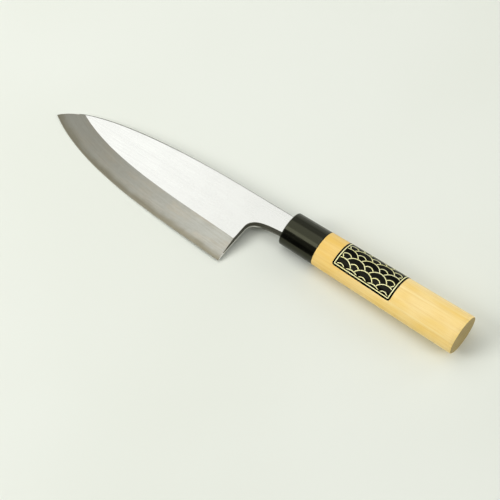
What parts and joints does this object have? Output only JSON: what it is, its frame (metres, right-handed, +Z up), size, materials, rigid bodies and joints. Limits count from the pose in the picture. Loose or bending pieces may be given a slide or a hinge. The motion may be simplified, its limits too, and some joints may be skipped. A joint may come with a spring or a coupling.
{
  "type": "japanese kitchen knife",
  "caption": "Single-bevel Japanese kitchen knife, a thick two-layer carbon blade on a hidden tang in an oval pale wood handle with a black ferrule and a printed band.",
  "frame": {"origin": "middle of the knife's bounding box, on the table that it lies on", "axes": "+X from the handle's butt to the blade's tip, +Y towards the cutting edge, +Z up, out of the bevelled face"},
  "size_m": [0.3002, 0.0562, 0.0226],
  "materials": {
    "soft_iron": "satin upper face, matt stone-finished bevel",
    "hard_steel": "stone-finished",
    "black_plastic": "polished",
    "pale_wood": "fine sanded, unvarnished",
    "black_foil": "gloss print with gold lines"
  },
  "bodies": {
    "root": {"blade_iron": "soft_iron", "blade_steel": "hard_steel", "ferrule": "black_plastic", "handle": "pale_wood", "band": "black_foil"}
  },
  "joints": []
}
